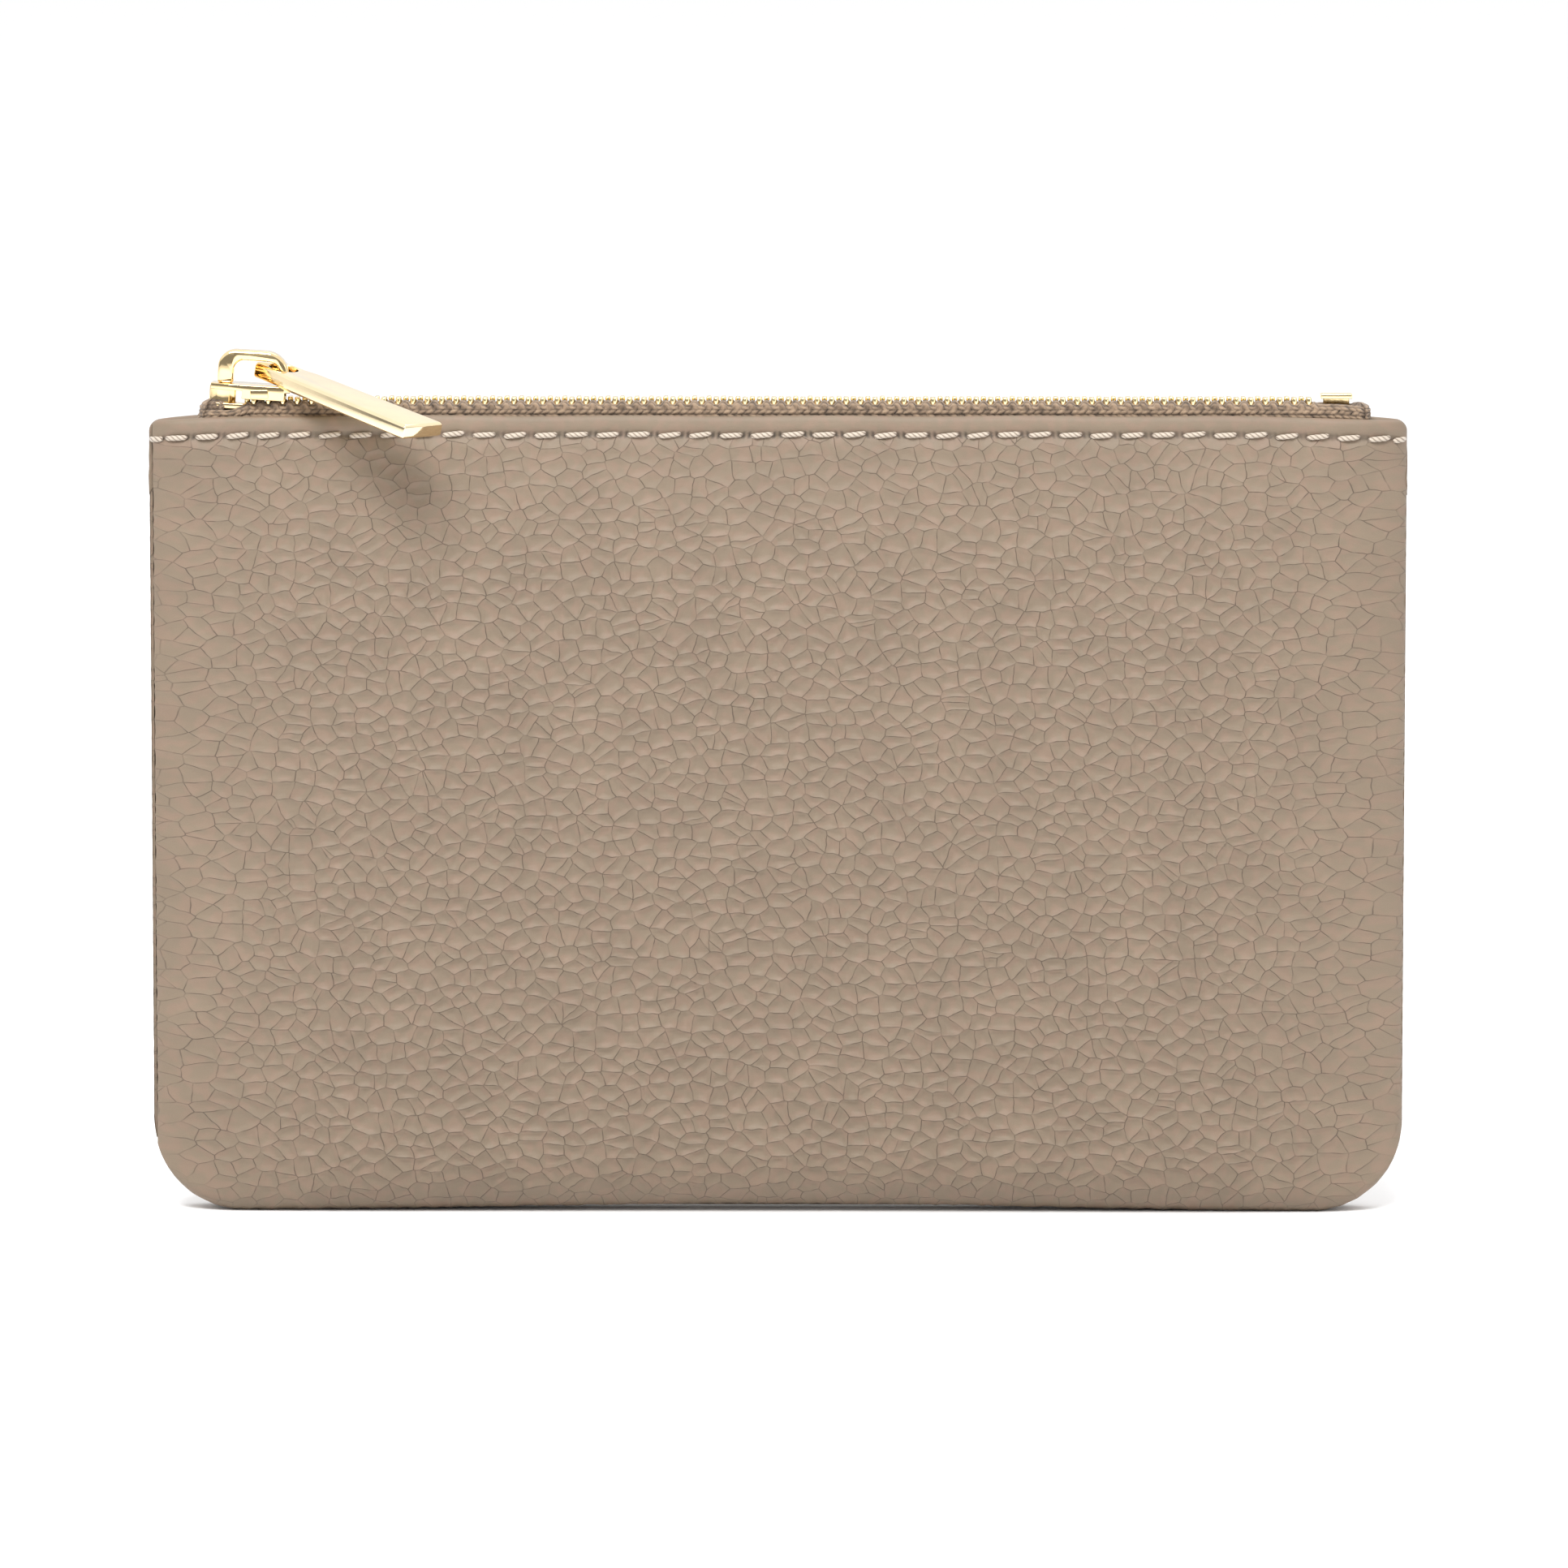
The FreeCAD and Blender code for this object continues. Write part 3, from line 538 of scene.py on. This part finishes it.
def make_panel(name, side, face):
    """Half a leather panel, from one side seam to the middle.

    side is -1 for the left half and 1 for the right; face is -1 for the front and 1 for the back.
    """
    inset, cap = panel_columns()
    x = side * (HALF - inset)
    if side < 0 and face < 0:
        x = x * (1 - SIDE_STEP / HALF)
    points, grain = panel_rows(x, inset, cap)
    points[..., 1] *= face
    piece = new_mesh(name, points, grid_faces(*grain.shape), leather)
    if side * face > 0:
        piece.data.flip_normals()
    store_grain(piece, points, grain, inset, face)
    emboss(piece)
    return piece


def emboss(piece):
    """Raises the pebbles of the grain in the mesh itself, between the creases."""
    tree = bpy.data.node_groups.new("emboss", "GeometryNodeTree")
    tree.interface.new_socket("Geometry", in_out="INPUT", socket_type="NodeSocketGeometry")
    tree.interface.new_socket("Geometry", in_out="OUTPUT", socket_type="NodeSocketGeometry")
    nodes = Nodes(tree)
    source = tree.nodes.new("NodeGroupInput")
    result = tree.nodes.new("NodeGroupOutput")

    def named(name, kind):
        node = nodes.add("GeometryNodeInputNamedAttribute", data_type=kind)
        node.inputs["Name"].default_value = name
        return node.outputs["Attribute"]

    place = named("grain", "FLOAT_VECTOR")
    amount = named("pebble", "FLOAT")
    _, near = pebbles(nodes, place)
    fall = nodes.math("SUBTRACT", 1.0, nodes.ramp(near, 0.0, 1.1, kind="LINEAR"))
    dome = nodes.math("SUBTRACT", 1.0, nodes.math("POWER", fall, 2.0))
    height = nodes.math("MULTIPLY", nodes.math("MULTIPLY", dome, amount), PEBBLE_HEIGHT * MM)
    normal = nodes.add("GeometryNodeInputNormal").outputs[0]
    shift = nodes.add("ShaderNodeVectorMath", normal, operation="SCALE")
    nodes.put(shift.inputs["Scale"], height)
    move = nodes.add("GeometryNodeSetPosition")
    nodes.put(move.inputs["Geometry"], source.outputs[0])
    nodes.put(move.inputs["Offset"], shift.outputs[0])
    nodes.put(result.inputs[0], move.outputs[0])
    modifier = piece.modifiers.new("emboss", "NODES")
    modifier.node_group = tree
    apply_modifiers(piece)


def apply_modifiers(piece):
    """Keeps the mesh as its modifiers leave it."""
    bpy.context.view_layer.update()
    graph = bpy.context.evaluated_depsgraph_get()
    shaped = bpy.data.meshes.new_from_object(piece.evaluated_get(graph))
    piece.modifiers.clear()
    piece.data = shaped


def open_with_mouth(piece):
    """Bakes a front piece's place into its mesh."""
    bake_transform(piece)


def make_quarters(kind, make, nodes):
    """Makes a piece for each face and side, in place of that face's CAD nodes; the back ones go on
    the root body.
    """
    pieces = []
    for face_name, face in FACES:
        for side_name, side in SIDES:
            piece = make(f"{face_name}_{kind}_{side_name}", side, face)
            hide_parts(*[f"{face_name}_{node}" for node in nodes])
            if face < 0:
                open_with_mouth(piece)
            else:
                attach(piece, "root")
            pieces.append(piece)
    return pieces


panels = make_quarters("leather", make_panel, ["panel"])


# ---- stitches -------------------------------------------------------------------------------


def make_stitch(x, face, length):
    """One stitch of three-ply thread: it rises out of its hole, lies on top and dives again."""
    t = np.linspace(-1, 1, STITCH_RINGS)
    theta = np.linspace(0, 2 * math.pi, STITCH_AROUND, endpoint=False)
    lean = math.radians(5.5 + rng.uniform(-2.5, 2.5))
    thick = STITCH_THICK * (1 + rng.uniform(-0.05, 0.05))
    body = np.sqrt(np.clip(1 - np.abs(t) ** 5, 0.05, 1))
    along = t * length / 2
    cx = x + along * math.cos(lean)
    cz = stitch_level(x) + along * math.sin(lean) + rng.uniform(-0.06, 0.06)
    cy = panel_depth(cx, cz) + 0.08 - 0.42 * np.abs(t) ** 3
    twist = along[:, None] * 2.6 + rng.uniform(0, 2)
    ply_and_shade = 0.5 + 0.5 * np.cos(3 * (theta[None, :] + twist))
    radius = thick * body[:, None] * (0.84 + 0.16 * np.sqrt(ply_and_shade))
    y = cy[:, None] + radius * np.cos(theta)[None, :] * 0.85
    z = cz[:, None] + radius * np.sin(theta)[None, :]
    points = np.stack([np.broadcast_to(cx[:, None], y.shape), face * y, z], -1)
    # Painted shade: the thread darkens between its plies and towards its ends, where it dives into
    # its holes.
    end_shade = np.clip((1 - np.abs(t)) * 5, 0, 1)[:, None]
    return points, ply_and_shade * end_shade


def make_stitches(name, side, face):
    """The stitches of one half of a panel's top edge, with a short one at the side seam."""
    parts, shades = [], []
    quads = grid_faces(STITCH_RINGS, STITCH_AROUND, wrap=True)
    ends = (np.arange(STITCH_COUNT + 1) - STITCH_COUNT / 2) * STITCH_PITCH
    whole = (ends[:-1] + ends[1:]) / 2
    stitches = [(x, STITCH_LONG) for x in whole if x * side > 0]
    stitches.append((side * (HALF - STITCH_SHORT / 2), STITCH_SHORT))
    for x, length in stitches:
        points, shade = make_stitch(x, face, length)
        parts.append((points, quads))
        shades.append(shade.ravel())
    points, faces = join_meshes(parts)
    piece = new_mesh(name, points, faces, thread)
    if face > 0:
        piece.data.flip_normals()
    store(piece, "ply_and_shade", np.concatenate(shades))
    store(piece, "grain", points)
    return piece


make_quarters("stitches", make_stitches, ["topstitch"])


# ---- zip tape -------------------------------------------------------------------------------


def first_tooth(face):
    """Where the middle of a row's first tooth lies, at the zip's right end."""
    high = TEETH_HIGH if face < 0 else BACK_TEETH_HIGH
    return high[0] - TOOTH_HALF


def weave(x, s):
    """Height and tone of a thick herringbone weave, x along the tape and s across it; the tone is
    random for each yarn, with painted shade between the yarns.
    """
    row = np.floor(s / 0.72)
    inside = s / 0.72 - row
    lean = np.where(row % 2 == 0, 0.6, -0.6)
    u = x / 1.09 + lean * (inside - 0.5) + 0.5 * (row % 2) + 0.16 * np.sin(row * 2.1 + x * 0.35)
    knot = np.abs((u % 1) - 0.5) * 2
    lump = np.sqrt(np.clip(1 - knot**2.2, 0, 1)) * np.sqrt(np.clip(4 * inside * (1 - inside), 0, 1))
    column = np.floor(u)
    toss = np.sin(column * 12.9898 + row * 78.233) * 43758.5453
    toss = toss - np.floor(toss)
    # The tone is random for each yarn, and lighter on the yarn's crown: painted shade between the
    # yarns.
    return lump * (0.8 + 0.4 * toss), 0.35 * toss + 0.75 * lump


def tape_profile(outside, crown):
    """The tape's section from its foot up and over the bead: y, z, and 1 where it's the bead."""
    profile = []
    for z in np.arange(TAPE_FOOT, crown - 0.9, 0.17):
        profile.append((outside, z, 0.0))
    for angle in np.linspace(0, math.pi * 0.5, 9)[1:]:
        y = outside - TAPE_BEND * (1 - math.cos(angle))
        profile.append((y, crown - TAPE_BEND + TAPE_BEND * math.sin(angle), 1.0))
    profile.append((TAPE_BEND, crown, 1.0))
    inner = [
        (0.7, crown - 0.35, 0.0),
        (0.95, crown - 0.75, 0.0),
        (outside - 0.8, crown - 1.0, 0.0),
        (outside - 0.9, TAPE_FOOT, 0.0),
    ]
    return np.array(profile + inner), len(profile)


def make_tape(name, side, face):
    """Half of one zip tape: hanging outside, rounded over its cord, and back down inside."""
    end = TAPE_RIGHT if side > 0 else TAPE_LEFT
    x = side * np.linspace(end, 0, int(end / TAPE_STEP))
    crown = ZIP_LEVEL - 0.22
    phase = np.abs(((x - first_tooth(face)) / TOOTH_PITCH + 0.5) % 1 - 0.5) * 2
    toothed = smoothstep(-80.6, -79.2, x) * (1 - smoothstep(80.6, 81.6, x))
    bead = 0.5 * smoothstep(0.3, 0.8, phase) * toothed
    sag = -1.0 * smoothstep(-79.5, -83, x) - 0.35 * smoothstep(84, 89, x)
    profile, outer_rows = tape_profile(TAPE_FACE - 0.05, crown)
    run = np.concatenate([[0], np.cumsum(np.hypot(*np.diff(profile[:, :2], axis=0).T))])
    grid_x, grid_s = np.meshgrid(x, run)
    height, tone = weave(grid_x, grid_s)
    wild = 0.12 * np.sin(grid_x * 3.1 + grid_s * 2.0)
    shown = smoothstep(crown + 0.4, crown - 0.6, profile[:, 1])[:, None]
    front = (np.arange(len(profile)) < outer_rows)[:, None].astype(float)
    y = profile[:, :1] + (height * 0.36 - 0.14) * front * (0.35 + 0.65 * shown)
    z = profile[:, 1:2] + profile[:, 2:3] * (bead + 0.10 * height * front - 0.16)
    drop = smoothstep(crown - 4.5, crown - 0.5, profile[:, 1])[:, None]
    z = z + sag[None, :] * drop
    turned = np.clip((np.abs(grid_x) - (end - 2.2)) / 2.2, 0, 1)
    y = y * (1 - 0.55 * turned**2)
    z = z - 0.9 * turned**3 * drop
    points = np.stack([grid_x, face * y, z], -1)
    piece = new_mesh(name, points, grid_faces(*grid_x.shape), tape_cloth)
    if side * face > 0:
        piece.data.flip_normals()
    # The yarn tone carries the weave's painted shade between the yarns.
    store(piece, "yarn_tone_and_shade", np.clip(tone + wild, 0, 1.2).ravel())
    store(piece, "grain", np.stack([grid_x, grid_s, np.zeros_like(grid_x)], -1).reshape(-1, 3))
    return piece


make_quarters("tape", make_tape, ["zip_tape", "tape_cord"])


def make_fold(name, side):
    """The tapes' folded end: a rounded wad of the same cloth, creased down its middle."""
    rows, around = 60, 72
    v = np.linspace(0, 1, rows)[:, None]
    a = np.linspace(0, 2 * math.pi, around, endpoint=False)[None, :]
    left = side < 0
    long_x = 1.9 if left else 1.7
    wide = 2.75
    top = ZIP_LEVEL + (0.35 if left else -0.15)
    end = (TAPE_LEFT if left else TAPE_RIGHT) + 0.4
    centre = side * (end - long_x)
    low = HEIGHT - 4
    cap = np.sqrt(np.clip(1 - np.clip((v - 0.82) / 0.18, 0, 1) ** 2.2, 0, 1))
    lean = (1.15 if left else 0.25) * v**1.2
    square = (np.abs(np.cos(a)) ** 3 + np.abs(np.sin(a)) ** 3) ** (-1 / 3)
    height, tone = weave(a * 2.9 + side * 7, v * 9)
    swell_out = 1 + 0.11 * (height - 0.5)
    crease = 1 - 0.38 * np.exp(-(((np.abs(np.sin(a)) - 0.93) / 0.12) ** 2)) * (np.cos(a) * side < 0.5)
    x = centre - side * lean + long_x * square * np.cos(a) * cap * swell_out
    y = wide * square * np.sin(a) * cap * swell_out * crease
    z = low + (top - low) * v + 0.10 * (height - 0.5)
    points = np.stack([x, y, z], -1)
    piece = new_mesh(name, points, grid_faces(rows, around, wrap=True), tape_cloth)
    piece.data.flip_normals()
    # The crease also darkens the cloth's tone: painted shade in the crease.
    store(piece, "yarn_tone_and_shade", np.clip(tone * crease, 0, 1.2).ravel())
    spot = np.stack(np.broadcast_arrays(a * 2.9, v * 9, np.zeros_like(x)), -1)
    store(piece, "grain", spot.reshape(-1, 3))
    return piece


for side_name, side in SIDES:
    fold = make_fold(f"tape_fold_{side_name}", side)
    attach(fold, "root")


# ---- teeth ----------------------------------------------------------------------------------


def tooth_shape():
    """One tooth as points and quads: a head, a neck and two legs over the tape."""
    right = [(0.36, -2.12), (0.40, -1.2), (0.36, -0.55), (0.27, -0.15), (0.40, 0.2), (0.27, 0.52)]
    left = [(-x, y) for x, y in reversed(right)]
    outline = np.array(left[-1:] + right + left[:-1])
    middle = outline.mean(axis=0)
    levels = [(-0.66, 0.0), (-0.66, 0.72), (-0.56, 0.94), (-0.40, 1.0)]
    levels += [(0.42, 1.0), (0.54, 0.95), (0.62, 0.80), (0.58, 0.40), (0.57, 0.0)]
    rings = []
    for z, scale in levels:
        ring = middle + (outline - middle) * [scale, 1 - (1 - scale) * 0.45]
        rings.append(np.column_stack([ring, np.full(len(ring), z)]))
    return np.array(rings), grid_faces(len(levels), len(outline), wrap=True)


def make_teeth(name, side, face):
    """The teeth of half a row, each turned and raised a little at random."""
    rings, quads = tooth_shape()
    parts = []
    for number in range(TOOTH_COUNT):
        x = first_tooth(face) - number * TOOTH_PITCH
        if (x < 0) != (side < 0):
            continue
        tooth = rings * [1, -face, 1]
        turn = math.radians(rng.uniform(-1.6, 1.6))
        tooth = tooth @ np.array(Matrix.Rotation(turn, 3, "Y"))
        parts.append((tooth + [x, 0, ZIP_LEVEL + rng.uniform(-0.03, 0.03)], quads))
    points, faces = join_meshes(parts)
    piece = new_mesh(name, points, faces, zip_gold)
    if face > 0:
        piece.data.flip_normals()
    return piece


make_quarters("teeth", make_teeth, ["teeth"])


# ---- stop, slider and pull ------------------------------------------------------------------


def from_node(name, node, bevel, segments, material, bosses=()):
    """A softened copy of a CAD piece, its sharp edges rounded over, with bosses (middle, size)."""
    piece = bpy.data.objects.new(name, frame["nodes"][node].data.copy())
    bpy.context.scene.collection.objects.link(piece)
    work = bmesh.new()
    work.from_mesh(piece.data)
    bmesh.ops.remove_doubles(work, verts=work.verts, dist=0.004 * MM)
    limit = math.radians(2)
    bmesh.ops.dissolve_limit(work, angle_limit=limit, verts=work.verts, edges=work.edges)
    for middle, size in bosses:
        shape = Matrix.Translation(Vector(middle) * MM) @ Matrix.Diagonal((*np.array(size) * MM, 1))
        bmesh.ops.create_cube(work, size=1, matrix=shape)
    work.to_mesh(piece.data)
    work.free()
    piece.data.materials.clear()
    piece.data.materials.append(material)
    rounding = piece.modifiers.new("bevel", "BEVEL")
    rounding.width = bevel * MM
    rounding.segments = segments
    rounding.limit_method = "ANGLE"
    rounding.angle_limit = math.radians(28)
    apply_modifiers(piece)
    for polygon in piece.data.polygons:
        polygon.use_smooth = True
    piece.data.set_sharp_from_angle(angle=math.radians(38))
    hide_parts(node)
    return piece


def lean_down(piece, degrees):
    """Tips a piece down at its free end, about the place where the pull hangs."""
    hinge = joint_named("pull_swing")
    eye = Matrix.Translation(hinge["pos_m"])
    normal = Vector(hinge["axis"])
    across = Vector((0, 0, 1)).cross((normal.x, normal.y, 0))
    tip = Matrix.Rotation(math.radians(degrees), 4, across.normalized())
    piece.data.transform(eye @ tip @ eye.inverted())


def fix(piece, body):
    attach(piece, body)


stop = from_node("stop_plate", "bottom_stop", 0.12, 3, zip_gold)
stop.data.transform(Matrix.Translation((0, 0, -STOP_SINK * MM)))
fix(stop, "root")
flange_middle = SLIDER_HIGH[0] - 4.6
side_bosses = [
    ((flange_middle, side * (SLIDER_HIGH[1] + 0.15), ZIP_LEVEL + 1.2), (2.7, 0.9, 1.3))
    for side in (-1, 1)
]
slider = from_node("slider", "slider_body", 0.14, 3, slider_gold, side_bosses)
fix(slider, "slider")
bail = from_node("bail", "slider_bail", 0.42, 2, slider_gold)
fix(bail, "slider")
pull = from_node("pull", "zip_pull", 0.22, 3, gold)
lean_down(pull, PULL_TIP)
fix(pull, "pull")


# ---- lining and hidden seam -----------------------------------------------------------------


def make_lining(name, side, face):
    """Half of one side of the lining, just inside the leather."""
    inset = np.concatenate([[LINING_INSET, 3.3, 3.6, 4.1], np.linspace(4.8, HALF, 60)])
    x = side * (HALF - inset)
    rows = []
    low = bottom_level(x) + 2.2
    for u in np.linspace(0, 1, 5):
        y = np.maximum(panel_depth(x, low) - 2.0, 0.1) * u
        rows.append((x, y, low))
    for u in np.linspace(0, 1, 80)[1:]:
        z = low + (LINING_TOP - low) * u
        y = np.maximum(panel_depth(x, z) - 1.75 - 0.35 * u, 0.06)
        y = np.where(z > HEIGHT - 12, np.minimum(y, TAPE_FACE - 1.0), y)
        ripple = 0.14 * np.sin(x * 0.5 + z * 0.07) * smoothstep(3, 12, inset)
        rows.append((x, np.maximum(y - np.abs(ripple), 0.05), z))
    points = np.array(rows).transpose(0, 2, 1)
    points[..., 1] *= face
    piece = new_mesh(name, points, grid_faces(len(rows), len(x)), lining_cloth)
    if side * face < 0:
        piece.data.flip_normals()
    store(piece, "grain", points.reshape(-1, 3))
    thickness = piece.modifiers.new("thickness", "SOLIDIFY")
    thickness.thickness = LINING_THICK * MM
    thickness.offset = 0
    apply_modifiers(piece)
    return piece


linings = make_quarters("lining", make_lining, ["lining"])

seam = frame["nodes"]["seam_thread"]
seam.data.materials.clear()
seam.data.materials.append(leather)


# ---- stage, light, camera -------------------------------------------------------------------


def make_floor():
    """A white floor, far wider than the view."""
    reach = 12.0
    mesh = bpy.data.meshes.new("floor")
    corners = [(-reach, -reach, 0), (reach, -reach, 0), (reach, reach, 0), (-reach, reach, 0)]
    mesh.from_pydata(corners, [], [(0, 1, 2, 3)])
    floor = bpy.data.objects.new("floor", mesh)
    bpy.context.scene.collection.objects.link(floor)
    material, _, shader = new_material("floor", Roughness=0.9, Specular_IOR_Level=0.1)
    shader.inputs["Base Color"].default_value = (0.93, 0.93, 0.935, 1)
    mesh.materials.append(material)


def make_world():
    """A white room, dim low down behind the camera, which is what polished metal reflects."""
    world = bpy.data.worlds.new("room")
    bpy.context.scene.world = world
    world.use_nodes = True
    nodes = Nodes(world.node_tree)
    background = world.node_tree.nodes["Background"]
    where = nodes.add("ShaderNodeTexCoord").outputs["Generated"]
    _, back, up = nodes.add("ShaderNodeSeparateXYZ", where).outputs
    front = nodes.ramp(back, -0.35, 0.15, 1.0, 0.0)
    low = nodes.math("SUBTRACT", 1.0, nodes.math("MULTIPLY", front, 0.72))
    high = nodes.ramp(up, 0.24, 0.42)
    bright = nodes.math("ADD", low, nodes.math("MULTIPLY", high, nodes.math("SUBTRACT", 1.12, low)))
    nodes.put(background.inputs["Strength"], bright)
    background.inputs["Color"].default_value = (1, 1, 1, 1)


def make_lamp(name, place, target, size, power):
    """A rectangular lamp that faces its target, in metres and watts."""
    data = bpy.data.lights.new(name, "AREA")
    data.shape = "RECTANGLE"
    data.size, data.size_y = size
    data.energy = power
    lamp = bpy.data.objects.new(name, data)
    lamp.location = place
    aim = Vector(target) - Vector(place)
    lamp.rotation_euler = aim.to_track_quat("-Z", "Y").to_euler()
    bpy.context.scene.collection.objects.link(lamp)


def make_camera():
    """A long lens, a little above the pouch and almost square to its front."""
    elevation, azimuth = math.radians(6.6), math.radians(0.5)
    distance = 1.5
    target = Vector((0.95 * MM, 0, 64.95 * MM))
    back = Vector(
        (
            math.sin(azimuth) * math.cos(elevation),
            -math.cos(azimuth) * math.cos(elevation),
            math.sin(elevation),
        )
    )
    data = bpy.data.cameras.new("camera")
    shown = 237.8 * MM  # width of the frame at the pouch
    data.sensor_width = 36
    data.lens = data.sensor_width * distance / shown
    data.clip_end = 50
    camera = bpy.data.objects.new("camera", data)
    camera.location = target + back * distance
    camera.rotation_euler = (-back).to_track_quat("-Z", "Y").to_euler()
    bpy.context.scene.collection.objects.link(camera)
    bpy.context.scene.camera = camera


make_floor()
make_world()
make_lamp("key", (-0.20, -0.85, 1.15), (0, 0, 0.06), (0.75, 0.5), 19.0)
make_lamp("side", (1.10, -0.70, 0.30), (0, 0, 0.08), (0.25, 0.7), 1.6)
make_lamp("behind", (0.30, 0.80, 1.45), (0, 0, 0.06), (0.8, 0.5), 4.0)
make_camera()
bpy.context.scene.view_settings.view_transform = "Standard"
